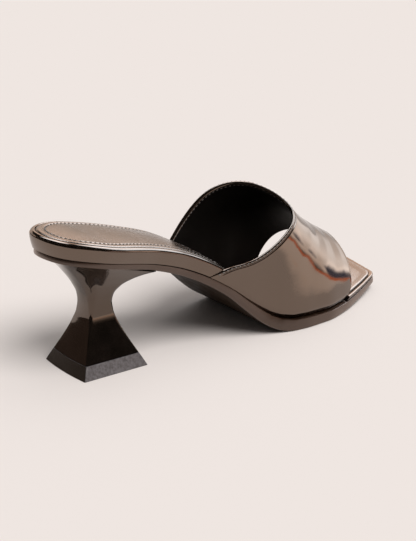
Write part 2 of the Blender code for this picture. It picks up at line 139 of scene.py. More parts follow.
class Table:
    """Rows of named columns, read between the rows by a monotone cubic over the first column."""

    def __init__(self, columns, *rows):
        self.columns = columns.split()
        self.rows = np.array(rows, dtype=float)

    def at(self, name, where):
        keys = self.rows[:, 0]
        values = self.rows[:, self.columns.index(name)]
        step = np.diff(keys)
        secant = np.diff(values) / step
        product = secant[:-1] * secant[1:]
        total = secant[:-1] + secant[1:]
        safe_total = np.where(product > 0, total, 1.0)
        inner = np.where(product > 0, 2.0 * product / safe_total, 0.0)
        tangent = np.concatenate([secant[:1], inner, secant[-1:]])
        where = np.clip(np.asarray(where, dtype=float), keys[0], keys[-1])
        row = np.clip(np.searchsorted(keys, where, side="right") - 1, 0, len(keys) - 2)
        t = (where - keys[row]) / step[row]
        rise = values[row] * (1 + 2 * t) * (1 - t) ** 2 + values[row + 1] * t * t * (3 - 2 * t)
        bend = tangent[row] * t * (1 - t) ** 2 - tangent[row + 1] * t * t * (1 - t)
        return rise + bend * step[row]


# The sole, station by station
SOLE = Table(
    "station under outer inner outsole midsole setback flare tuck",
    (0.0, 65.8, 26.0, 26.0, 3.0, 8.6, 3.0, 1.8, 0.0),
    (15.0, 63.0, 26.0, 26.0, 3.0, 8.5, 3.0, 1.8, 0.0),
    (30.0, 59.2, 26.0, 26.0, 3.0, 8.4, 2.8, 1.6, 0.0),
    (45.0, 55.4, 24.6, 24.2, 3.2, 8.4, 2.4, 1.2, 0.0),
    (60.0, 51.0, 23.0, 22.4, 3.5, 8.4, 1.8, 0.9, 0.0),
    (75.0, 45.4, 22.8, 21.8, 3.8, 8.4, 1.2, 0.6, 0.2),
    (90.0, 38.0, 24.6, 23.4, 4.1, 8.2, 0.7, 0.4, 0.4),
    (106.0, 27.6, 28.0, 27.0, 4.6, 7.6, 0.3, 0.4, 0.8),
    (118.5, 16.6, 31.0, 30.4, 5.4, 6.4, 0.0, 0.4, 1.4),
    (127.5, 9.2, 33.4, 32.4, 6.1, 5.4, 0.0, 0.4, 2.0),
    (134.0, 4.9, 35.4, 33.8, 6.5, 4.8, 0.0, 0.4, 2.4),
    (142.0, 1.6, 37.8, 35.2, 6.8, 4.2, 0.0, 0.4, 2.8),
    (153.0, 0.0, 40.4, 37.0, 6.6, 3.8, 0.0, 0.4, 3.0),
    (165.5, 0.0, 42.0, 38.8, 6.2, 3.6, 0.0, 0.4, 3.0),
    (180.0, 0.0, 42.2, 39.4, 5.8, 3.4, 0.0, 0.4, 2.8),
    (198.0, 0.5, 39.0, 36.8, 5.2, 3.0, 0.0, 0.4, 2.2),
    (220.5, 2.2, 30.8, 30.0, 4.4, 2.5, 0.0, 0.4, 1.2),
    (240.0, 4.6, 21.6, 21.0, 3.6, 2.0, 0.0, 0.4, 0.8),
)

# The footbed's bank: how far its inner edge rises over its outer edge
BANK = Table(
    "station rise",
    (0.0, 0.4),
    (12.0, 1.5),
    (27.0, 2.9),
    (45.0, 3.2),
    (62.0, 3.0),
    (78.0, 3.3),
    (94.0, 3.2),
    (108.0, 1.4),
    (122.0, 0.0),
    (240.0, 0.0),
)

# The upper, by distance from the heel's back
ARCH = Table(
    "x crest crest_side fullness",
    (90.0, 97.0, 3.0, 4.0),
    (120.0, 86.5, 3.0, 3.4),
    (140.0, 80.0, 4.5, 2.9),
    (158.0, 74.0, 5.0, 2.4),
    (164.0, 70.2, 5.0, 2.3),
    (175.0, 59.8, 5.0, 2.2),
    (190.0, 48.8, 4.5, 2.1),
    (210.0, 36.6, 4.0, 2.1),
)

# The band's edges, from the outer foot (0) over the crest to the inner foot (1)
BAND = Table(
    "share collar toe",
    (0.0, 95.0, 190.0),
    (0.06, 107.0, 198.5),
    (0.12, 122.0, 201.0),
    (0.2, 141.5, 203.5),
    (0.29, 159.5, 205.0),
    (0.36, 163.0, 206.5),
    (0.5, 156.0, 209.0),
    (0.63, 149.0, 207.0),
    (0.76, 134.0, 199.5),
    (0.88, 115.0, 193.0),
    (1.0, 98.0, 187.0),
)

# How far the upper's sides lie inside the full section, and the share of the way over where that ends
HOLLOW = Table(
    "x depth top",
    (95.0, 0.0, 0.03),
    (107.0, 0.4, 0.06),
    (122.0, 1.0, 0.12),
    (141.5, 1.8, 0.2),
    (159.5, 2.0, 0.29),
    (168.0, 1.5, 0.38),
    (185.0, 0.5, 0.44),
    (200.0, 0.0, 0.5),
)

# The heel's block, by share of its height
BLOCK = Table(
    "level back breast side back_round breast_round bulge",
    (0.0, 19.8, 19.8, 20.0, 0.8, 0.8, 1.2),
    (0.44, 8.9, 8.6, 8.8, 1.2, 1.2, 0.6),
    (0.52, 7.7, 7.5, 7.7, 1.8, 1.8, 0.4),
    (0.60, 7.4, 7.3, 7.5, 2.8, 2.8, 0.3),
    (0.68, 8.0, 8.2, 8.2, 4.2, 3.6, 0.3),
    (0.78, 11.0, 12.0, 10.4, 6.5, 4.6, 0.3),
    (0.88, 16.4, 18.0, 14.2, 10.5, 5.4, 0.2),
    (0.95, 21.8, 23.4, 17.6, 15.0, 6.0, 0.1),
    (1.0, 27.0, 28.6, 20.4, 19.0, 6.4, 0.0),
)
FACETS_UP_TO = 0.44  # share of the height where the pyramid's flat faces end
BLOCK_LEVEL_UP_TO = 0.55  # share of the height where the sections start to tilt with the seat

# Soft folds across the vamp: how far each lies from the collar to the toe opening at the crest and low on
# the outer side, as shares, its width as a share, and its height in millimetres, negative for a trough.
FOLDS = (
    (0.20, 0.20, 0.070, -0.05),
    (0.35, 0.36, 0.055, 0.11),
    (0.49, 0.50, 0.050, -0.10),
    (0.62, 0.63, 0.050, 0.10),
    (0.75, 0.76, 0.045, -0.10),
    (0.87, 0.88, 0.040, 0.08),
)
FOLDS_START = (0.08, 0.2)  # shares of the way over between which they fade in
FOLDS_END = (0.38, 0.54)  # and fade out
FOLDS_TURN = (0.15, 0.5)  # and run from their place on the side to their place at the crest


# Shape functions shared with the solids
def smooth_step(low, high, value):
    """0 below low, 1 above high, eased between."""
    t = np.clip((np.asarray(value, dtype=float) - low) / (high - low), 0.0, 1.0)
    return t * t * (3 - 2 * t)


def sole_tilt(station):
    """Slope angle of the sole's underside, negative where it falls towards the toe."""
    reach = 0.5
    inside = np.clip(station, reach, LENGTH - reach)
    rise = SOLE.at("under", inside + reach) - SOLE.at("under", inside - reach)
    return np.arctan2(rise, 2 * reach)


def toe_skew(station):
    return TOE_SKEW * smooth_step(TOE_SKEW_START, LENGTH, station)


def bank(station, across, height):
    """Rise of the footbed towards the inner side, at a height over the underside; none in the outsole."""
    outer = SOLE.at("outer", station)
    sideways = np.clip((across + outer) / (outer + SOLE.at("inner", station)), 0.0, 1.0)
    level = np.maximum(0.0, height - SOLE.at("outsole", station)) / SOLE.at("midsole", station)
    return BANK.at("rise", station) * sideways * level


def place(station, across, height):
    """Point at a station, across the shoe and at a height over the underside, square to the sole."""
    angle = sole_tilt(station)
    x = station - height * np.sin(angle) + toe_skew(station) * across
    z = SOLE.at("under", station) + height * np.cos(angle) + bank(station, across, height)
    return np.stack(np.broadcast_arrays(x, across, z), axis=-1)


def half_width(side, station, inset=0.0):
    """Outline's distance from the long axis, with the heel's round back and the toe's round corners."""
    width = SOLE.at(side, station) - inset
    back = np.clip(1 - (station - inset) / (HEEL_ROUND - inset), 0.0, 1.0)
    width = width * (1 - back ** HEEL_FULLNESS) ** (1 / HEEL_FULLNESS)
    corner = np.clip((station - (LENGTH - inset - TOE_CORNER)) / TOE_CORNER, 0.0, 1.0)
    return width - TOE_CORNER * (1 - np.sqrt(1 - corner ** 2))


def deck_station(x, across):
    """Station whose point on the outsole's top lies at x, at a distance across the shoe."""
    station = np.asarray(x, dtype=float)
    for _ in range(SOLVE_STEPS):
        lean = SOLE.at("outsole", station) * np.sin(sole_tilt(station))
        station = x - toe_skew(station) * across + lean
    return station


def upper_foot(side, x, depth):
    """Distance across and height over the floor of the upper's foot at x, in from its outer face."""
    sign = SIGN[side]
    station = deck_station(x, sign * SOLE.at(side, x))
    reach = SOLE.at(side, station) - GAP - SOLE.at("setback", station) - depth
    station = deck_station(x, sign * (reach - SOLE.at("tuck", station)))
    angle = sole_tilt(station)
    return reach, SOLE.at("under", station) + SOLE.at("outsole", station) * np.cos(angle) + GAP


def hollow(x, share):
    """How far the upper's side lies inside its full section, at x and a share of the way over."""
    from_foot = np.minimum(share, 1 - share) / HOLLOW.at("top", x)
    return HOLLOW.at("depth", x) * np.sin(math.pi * np.clip(from_foot, 0.0, 1.0))


def upper_points(depth, x, share):
    """Points on the upper at x, at shares of the way over it, in from its outer face by a depth."""
    depth = depth + hollow(x, share)
    angle = math.pi * share
    power = ARCH.at("fullness", x)
    radius = (np.abs(np.cos(angle)) ** power + np.sin(angle) ** power) ** (-1 / power)
    rise = np.clip(np.sin(angle) * radius, 0.0, 1.0)
    swing = -np.cos(angle) * radius
    outer_reach, outer_foot = upper_foot("outer", x, depth)
    inner_reach, inner_foot = upper_foot("inner", x, depth)
    foot = outer_foot + (inner_foot - outer_foot) * smooth_step(-CREST_BLEND, CREST_BLEND, swing)
    z = foot + rise * (ARCH.at("crest", x) - foot - depth)
    tuck = SOLE.at("tuck", x) * np.clip(1 - (z - foot) / TUCK_HEIGHT, 0.0, 1.0) ** 2
    reach = np.where(swing < 0, outer_reach, inner_reach) - tuck
    y = swing * reach + ARCH.at("crest_side", x) * rise ** CREST_LEAN
    return np.stack(np.broadcast_arrays(x, y, z), axis=-1)


def edges_at(side, z):
    """Where the upper's collar edge and toe edge on one side pass a height near its foot."""
    near_foot = np.linspace(0.0, FOOT_SHARE, num=41)
    share = near_foot if side == "outer" else 1 - near_foot
    crossings = []
    for name in ("collar", "toe"):
        edge = upper_points(0.0, BAND.at(name, share), share)
        crossings.append(np.interp(z, np.maximum.accumulate(edge[:, 2]), edge[:, 0]))
    return crossings


def under_upper(side, station, height):
    """1 where the upper covers the midsole's side, at a height over the sole's underside."""
    points = place(station, SIGN[side] * half_width(side, station), height)
    collar_x, toe_x = edges_at(side, points[:, 2])
    covered = smooth_step(collar_x - STEP_LEAD - STEP_RUN, collar_x - STEP_LEAD, points[:, 0])
    return covered * (1 - smooth_step(toe_x + STEP_LEAD, toe_x + STEP_LEAD + STEP_RUN, points[:, 0]))


def block_ring(level, corner_points, side_points):
    """Ring of the heel's block in place, level at its foot and tilted with the seat at its top."""
    back = BLOCK.at("back", level)
    breast = BLOCK.at("breast", level)
    side = BLOCK.at("side", level)
    corner_steps = np.linspace(0.0, 1.0, corner_points)
    corners = (
        (breast, -side, BLOCK.at("breast_round", level), -90.0),
        (breast, side, BLOCK.at("breast_round", level), 0.0),
        (-back, side, BLOCK.at("back_round", level), 90.0),
        (-back, -side, BLOCK.at("back_round", level), 180.0),
    )
    arcs = []
    for x, y, radius, start in corners:
        turn = np.radians(start + 90.0 * corner_steps)
        centre_x = x - math.copysign(radius, x)
        centre_y = y - math.copysign(radius, y)
        arcs.append(np.stack([centre_x + radius * np.cos(turn), centre_y + radius * np.sin(turn)], axis=1))
    ring = []
    back_side = 2  # the straight between the two back corners
    between = np.linspace(0.0, 1.0, side_points + 2)[1:-1, None]
    for number, arc in enumerate(arcs):
        following = arcs[(number + 1) % len(arcs)][0]
        straight = arc[-1] + (following - arc[-1]) * between
        if number == back_side:
            straight[:, :1] -= BLOCK.at("bulge", level) * 4 * between * (1 - between)
        ring += list(arc) + list(straight)
    ring = np.array(ring)
    x = HEEL_AXIS + ring[:, 0] * math.cos(HEEL_TURN) - ring[:, 1] * math.sin(HEEL_TURN)
    y = ring[:, 0] * math.sin(HEEL_TURN) + ring[:, 1] * math.cos(HEEL_TURN)
    middle = SOLE.at("under", HEEL_AXIS) - GAP
    tilt = SOLE.at("under", x) - GAP - middle
    z = level * middle + smooth_step(BLOCK_LEVEL_UP_TO, 1.0, level) * tilt
    return np.stack([x, y, z], axis=1)


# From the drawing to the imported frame
drawn_foot = block_ring(0.0, corner_points=6, side_points=4)
foot_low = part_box("top_piece")[0]
SHIFT = np.array([foot_low.x, foot_low.y, 0.0]) / MM - np.append(drawn_foot.min(axis=0)[:2], 0.0)


def add_mesh(name, points, faces, materials, slots=None):
    """Smooth-shaded mesh object from drawing points, riding on the shoe."""
    mesh = bpy.data.meshes.new(name)
    mesh.from_pydata(((np.asarray(points) + SHIFT) * MM).tolist(), [], faces)
    for made in materials:
        mesh.materials.append(made)
    if slots is not None:
        mesh.polygons.foreach_set("material_index", slots)
    builder = bmesh.new()
    builder.from_mesh(mesh)
    bmesh.ops.recalc_face_normals(builder, faces=builder.faces)
    if builder.calc_volume(signed=True) < 0:
        bmesh.ops.reverse_faces(builder, faces=builder.faces)
    builder.to_mesh(mesh)
    builder.free()
    mesh.shade_smooth()
    mesh.set_sharp_from_angle(angle=CRISP_FROM)
    mesh.update()
    piece = bpy.data.objects.new(name, mesh)
    bpy.context.scene.collection.objects.link(piece)
    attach(piece, "root")
    return piece


def cap_faces(first, count, left, right, turned):
    """Faces laid across a ring, from two neighbouring points to the far side."""
    faces = []
    for step in range(count // 2):
        corners = (left - step, right + step, right + step + 1, left - step - 1)
        distinct = list(dict.fromkeys(first + corner % count for corner in corners))
        if len(distinct) > 2:
            faces.append(distinct[::-1] if turned else distinct)
    return faces


def loft_faces(rows, count, left=0, right=0):
    """Faces of a closed skin through rows of equal rings."""
    faces = []
    for row in range(rows - 1):
        for i in range(count):
            j = (i + 1) % count
            faces.append((row * count + i, row * count + j, (row + 1) * count + j, (row + 1) * count + i))
    faces += cap_faces(0, count, left, right, False)
    faces += cap_faces((rows - 1) * count, count, left, right, True)
    return faces


# Sole layers
def fine_stations():
    """Stations from heel to toe, close together wherever the outline or the step turns fast."""
    quarter = math.pi / 2
    round_back = HEEL_ROUND * (1 - np.cos(np.linspace(BACK_START, quarter, BACK_STATIONS)))
    middle = np.linspace(HEEL_ROUND, LENGTH - TOE_CORNER, MIDDLE_STATIONS)[1:-1]
    close = [np.arange(first, last, CLOSE_PITCH) for first, last in CLOSE_STATIONS]
    round_front = LENGTH - TOE_CORNER * (1 - np.sin(np.linspace(0.0, quarter, CORNER_STATIONS)))
    return np.unique(np.round(np.concatenate([round_back, middle, *close, round_front]), 2))


def moved_in(side, where, height):
    """How far a layer's point is moved in, where the upper's wall needs room."""
    seat = SOLE.at("outsole", where) + GAP + SOLE.at("midsole", where) - RECESS
    room = SOLE.at("tuck", where) + WALL + 3 * GAP
    return room * under_upper(side, where, np.minimum(height, seat))


def side_points(side, where, inset, height, reach, fitted):
    """Points of one profile point along the whole sole, on one side."""
    to_back = np.clip(1 - where / HEEL_ROUND, 0.0, 1.0)
    to_toe = np.clip((where - LENGTH) / HEEL_ROUND + 1, 0.0, 1.0)
    inset = np.broadcast_to(inset, where.shape)
    if fitted:
        inset = inset + moved_in(side, where, height)
    own = where + inset * (to_back - to_toe)
    across = SIGN[side] * reach * half_width(side, own, inset)
    return place(own, across, height)


def layer(where, profile, fitted):
    """Rings of a sole layer, from a profile of insets, heights and reaches."""
    columns = []
    for inset, height, reach in profile:
        columns.append(side_points("outer", where, inset, height, reach, fitted))
    for inset, height, reach in profile[::-1]:
        if reach > 0:
            columns.append(side_points("inner", where, inset, height, reach, fitted))
    return np.stack(columns, axis=1)


def sole_piece(name, profile, fitted, finish, under=None):
    """A sole layer, whose underside may have a finish of its own."""
    where = fine_stations()
    rings = layer(where, profile(where), fitted)
    rows, columns = rings.shape[:2]
    faces = loft_faces(rows, columns)
    if under is None:
        return add_mesh(name, rings.reshape(-1, 3), faces, [finish])
    slots = np.zeros(len(faces), dtype=int)
    underside = (0, 1, columns - 2, columns - 1)  # the profile's first two steps, on both sides
    for column in underside:
        slots[column:(rows - 1) * columns:columns] = 1
    return add_mesh(name, rings.reshape(-1, 3), faces, [finish, under], slots)


# A profile runs from the middle of the underside round the side to the middle of the top. Each point has an
# inset from the outline, a height over the sole's underside and a reach, its share of the half width.
def outsole_profile(where):
    """Underside, rounded lower edge, side and top."""
    inset = SOLE.at("setback", where)
    top = SOLE.at("outsole", where)
    return [
        (inset + 2 * SOLE_EDGE, 0.0, 0.0),
        (inset + 2 * SOLE_EDGE, 0.0, 0.6),
        (inset + SOLE_EDGE + 0.3, 0.0, 1.0),
        (inset + 0.5 * SOLE_EDGE, 0.15 * SOLE_EDGE, 1.0),
        (inset + 0.12 * SOLE_EDGE, 0.5 * SOLE_EDGE, 1.0),
        (inset, SOLE_EDGE + 0.2, 1.0),
        (inset, top - SOLE_TOP_EDGE, 1.0),
        (inset + 0.28 * SOLE_TOP_EDGE, top - 0.28 * SOLE_TOP_EDGE, 1.0),
        (inset + SOLE_TOP_EDGE, top, 1.0),
        (inset + SOLE_TOP_EDGE, top, 0.0),
    ]


def midsole_profile(where):
    """Underside, flared side, rolled rim with the seam under it, and the insole's seat."""
    foot = SOLE.at("outsole", where) + GAP
    full_top = foot + SOLE.at("midsole", where)
    flare = SOLE.at("flare", where)
    at_toe = smooth_step(*TOE_PLAIN, where)
    radius = RIM_ROUND * (1 - TOE_RIM_LOSS * at_toe)
    top = full_top - TOE_STEP * at_toe
    low = foot + FOOT_EDGE
    seam = SEAM_DEPTH * (1 - at_toe)
    profile = [
        (flare + FOOT_EDGE, foot, 0.0),
        (flare + FOOT_EDGE, foot, 1.0),
        (flare + 0.25 * FOOT_EDGE, foot + 0.25 * FOOT_EDGE, 1.0),
    ]
    for share in np.linspace(0.0, 1.0, SIDE_ROWS, endpoint=False):
        profile.append((flare * (1 - share) ** FLARE_POWER, low + (top - radius - low) * share, 1.0))
    for degrees in np.sort(np.concatenate([np.arange(0.0, 90.0 + RIM_STEP / 2, RIM_STEP), SEAM_TURNS])):
        angle = math.radians(degrees)
        reach = radius - seam * float(np.interp(degrees, SEAM_TURNS, (0.0, 1.0, 1.0, 0.0)))
        profile.append((radius - reach * math.cos(angle), top - radius + reach * math.sin(angle), 1.0))
    profile += [
        (RIM - RIM_EDGE, top, 1.0),
        (RIM - RIM_EDGE_MIDDLE, top - RIM_EDGE_MIDDLE, 1.0),
        (RIM, top - RIM_EDGE, 1.0),
        (RIM, full_top - RECESS, 1.0),
        (RIM, full_top - RECESS, 0.0),
    ]
    return profile


def insole_top(where):
    return SOLE.at("outsole", where) + GAP + SOLE.at("midsole", where) + INSOLE_PROUD


def insole_profile(where):
    """Underside, rounded edge, the stitches' groove and the crowned middle."""
    top = insole_top(where)
    at_toe = smooth_step(*TOE_PLAIN, where)
    fall = 1 - TOE_SOCK_LOSS * at_toe
    edge = RIM + GAP
    seat = top - INSOLE_PROUD - RECESS + GAP
    line = edge + STITCH_INSET
    inner = line + 2 * SOCK_GROOVE_HALF
    swell = 0.06  # how far the padding has risen at the groove's inner side
    profile = [
        (edge, seat, 0.0),
        (edge, seat, 1.0),
        (edge, seat + 0.5 * RECESS, 1.0),
        (edge + 0.25 * fall, top - 0.48 * fall, 1.0),
        (edge + 0.8 * fall, top - 0.2 * fall, 1.0),
        (edge + 1.5, top - 0.06 * fall, 1.0),
        (edge + 2.3, top, 1.0),
        (line - SOCK_GROOVE_HALF, top + swell / 3, 1.0),
        (line, top - SOCK_GROOVE * (1 - at_toe), 1.0),
        (line + SOCK_GROOVE_HALF, top + swell / 3, 1.0),
        (inner, top + swell, 1.0),
    ]
    to_end = np.clip(1 - np.minimum(where, LENGTH - where) / HEEL_ROUND, 0.0, 1.0)
    crown = INSOLE_CROWN * (1 - to_end ** 2)
    for reach in (0.85, 0.7, 0.5, 0.3, 0.12, 0.0):
        profile.append((inner, top + swell + crown * (1 - reach ** 2), reach))
    return profile


def resampled(path, pitch):
    """Points and directions along a polyline at an even pitch."""
    length = np.concatenate([[0.0], np.cumsum(np.linalg.norm(np.diff(path, axis=0), axis=1))])
    count = int(length[-1] // pitch)
    at = (np.arange(count) + 0.5) * (length[-1] / count)
    near = 0.3

    def along(distance):
        return np.stack([np.interp(distance, length, path[:, axis]) for axis in range(3)], axis=1)

    way = along(at + near) - along(at - near)
    return along(at), way / np.linalg.norm(way, axis=1, keepdims=True)


def stitches(name, path, up, finish):
    """Row of short thread lengths along a path, each sunk at both ends."""
    middle, way = resampled(path, STITCH_PITCH)
    aside = np.cross(up(middle), way)
    aside /= np.linalg.norm(aside, axis=1, keepdims=True)
    lift = np.cross(way, aside)
    turns = np.linspace(0.0, 2 * math.pi, STITCH_SIDES, endpoint=False)
    points = []
    faces = []
    for spot, forward, side, high in zip(middle, way, aside, lift):
        base = len(points)
        for step in np.linspace(-1.0, 1.0, STITCH_RINGS):
            round_off = math.sqrt(max(0.0, 1 - (STITCH_TAPER * step) ** 2))
            height = STITCH_RISE - STITCH_SINK * step ** 2
            centre = spot + forward * step * STITCH_LENGTH / 2 + high * height
            for turn in turns:
                wide = side * math.cos(turn) * STITCH_WIDTH / 2
                tall = high * math.sin(turn) * STITCH_WIDTH / 2
                points.append(centre + (wide + tall) * round_off)
        for row in range(STITCH_RINGS - 1):
            low = base + row * STITCH_SIDES
            following = low + STITCH_SIDES
            for i in range(STITCH_SIDES):
                j = (i + 1) % STITCH_SIDES
                faces.append((low + i, low + j, following + j, following + i))
        faces.append(tuple(range(base, base + STITCH_SIDES))[::-1])
        faces.append(tuple(range(len(points) - STITCH_SIDES, len(points))))
    return add_mesh(name, points, faces, [finish])


def insole_stitches(finish):
    """Stitches round the insole, in their groove."""
    where = fine_stations()
    inset = RIM + GAP + STITCH_INSET
    height = insole_top(where) - THREAD_SUNK
    outer = side_points("outer", where, inset, height, 1.0, True)
    inner = side_points("inner", where, inset, height, 1.0, True)
    sewn = where < STITCHED_UP_TO
    path = np.concatenate([inner[sewn][::-1], outer[sewn]])

    def up(points):
        angle = sole_tilt(points[:, 0])
        return np.stack([-np.sin(angle), 0 * angle, np.cos(angle)], axis=1)

    return stitches("insole_stitches", path, up, finish)


# Upper
def evener(count, rounds):
    """Matrix that evens out a run of points, keeping its ends and its slow curves."""
    step = 0.5 * np.eye(count) + 0.25 * (np.eye(count, k=1) + np.eye(count, k=-1))
    step[0] = np.eye(count)[0]
    step[-1] = np.eye(count)[-1]
    once = np.linalg.matrix_power(step, rounds)
    return 2 * once - once @ once


def band_grid(along, around):
    """Grid over the band, with rows close together at its edges.

    Gives each point's x, its share of the way over, its distance from the collar's edge, each strip's
    length, and the small move that evens out the skin between the drawn sections.
    """
    even = np.linspace(0.0, 1.0, around)
    share = even - FOOT_BUNCHING * np.sin(2 * math.pi * even) / (2 * math.pi)
    collar = BAND.at("collar", share)
    toe = BAND.at("toe", share)
    dense_rows = 160
    dense_x = collar + (toe - collar) * np.linspace(0.0, 1.0, dense_rows)[:, None]
    strip = upper_points(0.0, dense_x, np.broadcast_to(share, dense_x.shape))
    along_evener = evener(dense_rows, EVEN_ALONG)
    over_evener = evener(around, EVEN_OVER)
    evened = np.einsum("ij,jkc,lk->ilc", along_evener, strip, over_evener, optimize=True)
    off_foot = smooth_step(*EVEN_FROM, np.minimum(share, 1 - share))
    dense_move = (evened - strip) * off_foot[:, None]
    steps = np.linalg.norm(np.diff(strip, axis=0), axis=2)
    length = np.concatenate([np.zeros((1, around)), np.cumsum(steps, axis=0)])
    turn = np.linspace(0.0, math.pi / 2, FOLD_ROWS)
    edge = WALL / 2 * (1 - np.cos(turn))
    fold = np.concatenate([edge, np.linspace(WALL / 2, EDGE_REACH, EDGE_ROWS)[1:]])
    x = np.empty((along + 2 * len(fold), around))
    distance = np.empty_like(x)
    move = np.empty((*x.shape, 3))
    for column in range(around):
        total = length[-1, column]
        middle = np.linspace(fold[-1], total - fold[-1], along + 2)[1:-1]
        rows = np.concatenate([fold, middle, total - fold[::-1]])
        distance[:, column] = rows
        x[:, column] = np.interp(rows, length[:, column], dense_x[:, column])
        for axis in range(3):
            move[:, column, axis] = np.interp(rows, length[:, column], dense_move[:, column, axis])
    return x, np.broadcast_to(share, x.shape), distance, length[-1], move


def edge_round(distance):
    """How far the outer face turns in at a distance from the wall's rounded edge."""
    near = np.clip(1 - distance / (WALL / 2), 0.0, 1.0)
    return WALL / 2 * (1 - np.sqrt(1 - near ** 2))


def bump_at(distance, middle, width):
    return np.exp(-((distance - middle) / width) ** 2)


def fold_depth(run, share):
    """Soft folds of the vamp, over its outer side and its crest."""
    depth = np.zeros_like(run)
    fade = smooth_step(*FOLDS_START, share) * (1 - smooth_step(*FOLDS_END, share))
    towards_crest = smooth_step(*FOLDS_TURN, share)
    for crest, side, width, height in FOLDS:
        middle = side + (crest - side) * towards_crest
        depth -= height * bump_at(run, middle, width)
    return depth * fade


def upper_piece(patent, lining):
    """The vamp band: rounded folded edges, a bead and the line it ends in at the collar, soft folds."""
    x, share, distance, total, move = band_grid(along=90, around=BAND_COLUMNS)
    to_toe = total - distance
    off_foot = smooth_step(0.0, FADE_IN, share) * (1 - smooth_step(1 - FADE_IN, 1.0, share))
    outer_depth = edge_round(distance) + edge_round(to_toe)
    bead = bump_at(distance, COLLAR_STITCH, BEAD_WIDTH) * BEAD
    bead += bump_at(to_toe, TOE_BEAD, TOE_BEAD_WIDTH) * TOE_BEAD_SHARE * BEAD
    groove = bump_at(distance, COLLAR_GROOVE, GROOVE_WIDTH) * GROOVE
    outer_depth += (groove - bead + fold_depth(distance / total, share)) * off_foot
    inner_depth = WALL - edge_round(distance) - edge_round(to_toe)
    outer = upper_points(outer_depth, x, share) + move
    inner = upper_points(inner_depth, x, share) + move
    rows, columns = x.shape
    points = np.concatenate([outer.reshape(-1, 3), inner[1:-1].reshape(-1, 3)])
    outside = np.arange(rows * columns).reshape(rows, columns)
    inside = outside.copy()
    inside[1:-1] = np.arange(rows * columns, len(points)).reshape(rows - 2, columns)
    outside = outside.tolist()
    inside = inside.tolist()
    faces = []
    slots = []
    lining_from = int(np.searchsorted(distance[:, columns // 2], LINING_FROM))
    for row in range(rows - 1):
        lined = 1 if lining_from <= row < rows - 1 - lining_from else 0
        skin, next_skin = outside[row:row + 2]
        back, next_back = inside[row:row + 2]
        for a in range(columns - 1):
            b = a + 1
            faces.append((skin[a], skin[b], next_skin[b], next_skin[a]))
            faces.append((back[a], next_back[a], next_back[b], back[b]))
            slots += [0, lined]
        for column, ahead in ((0, True), (columns - 1, False)):
            corners = (skin[column], next_skin[column], next_back[column], back[column])
            strip = list(dict.fromkeys(corners))
            faces.append(tuple(strip if ahead else strip[::-1]))
            slots.append(1)
    return add_mesh("vamp", points, faces, [patent, lining], slots)


def collar_stitches(finish):
    """Stitches along the collar's folded edge, which show on its outer face and on its lining."""
    x, share, distance, _, move = band_grid(along=20, around=BAND_COLUMNS)
    row = int(np.argmin(np.abs(distance[:, BAND_COLUMNS // 2] - COLLAR_STITCH)))
    sewn = (row, slice(BARE_COLUMNS, -BARE_COLUMNS))
    sides = (("collar_stitches", COLLAR_SUNK - BEAD, WALL), ("lining_stitches", WALL - THREAD_SUNK, 0.0))
    made = []
    for name, depth, far_depth in sides:
        path = upper_points(depth, x[sewn], share[sewn]) + move[sewn]
        far_face = upper_points(far_depth, x[sewn], share[sewn]) + move[sewn]

        def up(points, path=path, far_face=far_face):
            nearest = [int(np.argmin(np.linalg.norm(path - point, axis=1))) for point in points]
            return path[nearest] - far_face[nearest]

        made.append(stitches(name, path, up, finish))
    return made


# Heel
def block_piece(name, levels, finish):
    corner_points = 10
    side_points_count = 16
    rings = np.stack([block_ring(level, corner_points, side_points_count) for level in levels])
    right = corner_points + side_points_count // 2
    faces = loft_faces(rings.shape[0], rings.shape[1], right - 1, right)
    return add_mesh(name, rings.reshape(-1, 3), faces, [finish])


# Materials
WARM = (1.0, 0.76, 0.61)  # tint of the dark film's own shine
FILM = ((0.003, 0.0025, 0.002), (0.007, 0.005, 0.004))  # shades under a clear film
RAMP = (0.35, 0.68)  # values of a texture between which colours change
PAINTED_BACK_SHADE = (0.009, 0.006, 0.004)  # painted shade on the lift's faces that look to the back


def link(tree, source, target):
    tree.links.new(source, target)


def fill(node, values):
    """Sets values on a node's own sockets."""
    for name, value in values.items():
        node.inputs[name].default_value = value


def shader_of(made):
    return made.node_tree.nodes["Principled BSDF"]


def new_finish(name, colour, roughness, ior=1.5):
    """Material whose constant values sit on the shader's own sockets."""
    made = bpy.data.materials.new(name)
    made.use_nodes = True
    shader = shader_of(made)
    tint = (*WARM, 1.0)
    fill(shader, {"Base Color": (*colour, 1.0), "Roughness": roughness, "IOR": ior, "Specular Tint": tint})
    return made, shader


def texture(tree, kind, scale):
    """Texture over the object's own coordinates, in metres."""
    where = tree.nodes.new("ShaderNodeTexCoord")
    made = tree.nodes.new(kind)
    fill(made, {"Scale": scale})
    link(tree, where.outputs["Object"], made.inputs["Vector"])
    return made


def noise(tree, scale, detail, roughness=0.55):
    made = texture(tree, "ShaderNodeTexNoise", scale)
    fill(made, {"Detail": detail, "Roughness": roughness})
    return made.outputs["Fac"]


def ranged(tree, source, low, high, from_low=0.3, from_high=0.7, interpolation="LINEAR"):
    made = tree.nodes.new("ShaderNodeMapRange")
    made.interpolation_type = interpolation
    fill(made, {"From Min": from_low, "From Max": from_high, "To Min": low, "To Max": high})
    link(tree, source, made.inputs["Value"])
    return made.outputs["Result"]


def mixed(tree, factor, plain, picked):
    """From one colour or socket to another, by a factor."""
    made = tree.nodes.new("ShaderNodeMix")
    made.data_type = "RGBA"
    link(tree, factor, made.inputs["Factor"])
    for socket, value in ((made.inputs["A"], plain), (made.inputs["B"], picked)):
        if isinstance(value, tuple):
            socket.default_value = (*value, 1.0)
        else:
            link(tree, value, socket)
    return made.outputs["Result"]


def bumped(tree, shader, height, strength, distance):
    made = tree.nodes.new("ShaderNodeBump")
    fill(made, {"Strength": strength, "Distance": distance})
    link(tree, height, made.inputs["Height"])
    link(tree, made.outputs["Normal"], shader.inputs["Normal"])


